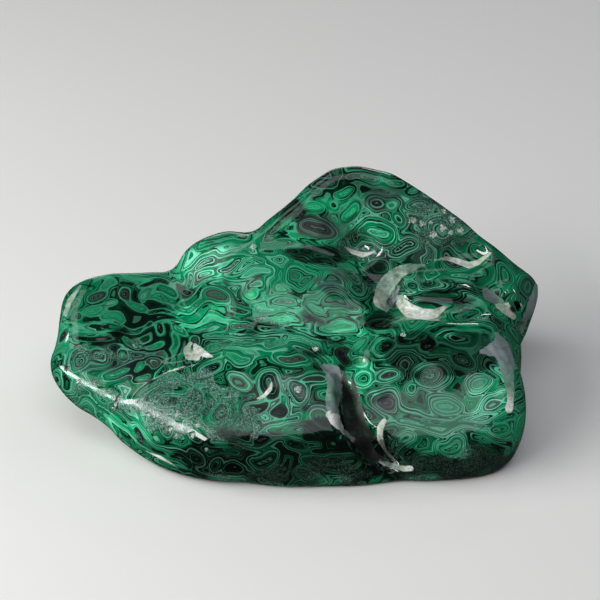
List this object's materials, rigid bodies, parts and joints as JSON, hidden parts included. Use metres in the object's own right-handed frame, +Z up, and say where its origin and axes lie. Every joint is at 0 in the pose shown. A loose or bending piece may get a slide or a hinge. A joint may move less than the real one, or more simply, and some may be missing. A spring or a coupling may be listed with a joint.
{
  "type": "malachite specimen",
  "caption": "Polished freeform of banded malachite: rounded lobes in front of a standing slab, with a cleft between two lobes, resting on a flat base.",
  "frame": {"origin": "middle of the stone's box, on the surface that it rests on", "axes": "+X towards the slab's right corner, seen from the front, +Y towards the standing slab at the back, +Z up"},
  "size_m": [0.253, 0.161, 0.107],
  "materials": {
    "malachite": "polished"
  },
  "bodies": {
    "root": {"malachite_stone": "malachite"}
  },
  "joints": []
}
